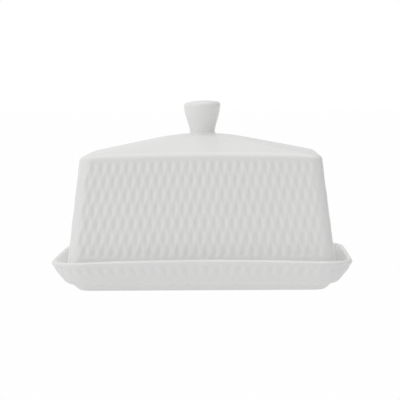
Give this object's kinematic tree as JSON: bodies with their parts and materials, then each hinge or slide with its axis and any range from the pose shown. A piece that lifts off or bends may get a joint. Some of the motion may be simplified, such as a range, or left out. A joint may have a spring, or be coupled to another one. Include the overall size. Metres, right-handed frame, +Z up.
{
  "type": "covered butter dish",
  "caption": "Rectangular porcelain butter dish: a flared, footed tray and a tall tapered cover with a low hipped roof, an allover lozenge relief and a cone-shaped knob.",
  "frame": {"origin": "under the centre of the tray, on the plane that the foot stands on", "axes": "+Z up, the way the cover lifts; +X along the dish's length; +Y along its width"},
  "size_m": [0.19, 0.1174, 0.1191],
  "materials": {
    "tray_porcelain": "clear glossy glaze over white porcelain, unglazed where the foot stands",
    "cover_porcelain": "clear glossy glaze over white porcelain with a shallow moulded lozenge relief"
  },
  "bodies": {
    "tray": {"tray": "tray_porcelain"},
    "lid": {"cover": "cover_porcelain", "knob": "cover_porcelain"}
  },
  "joints": [
    {"name": "cover_lift", "type": "slide", "parent": "tray", "child": "lid", "axis": [0, 0, 1], "range_m": [0, 0.12]}
  ]
}
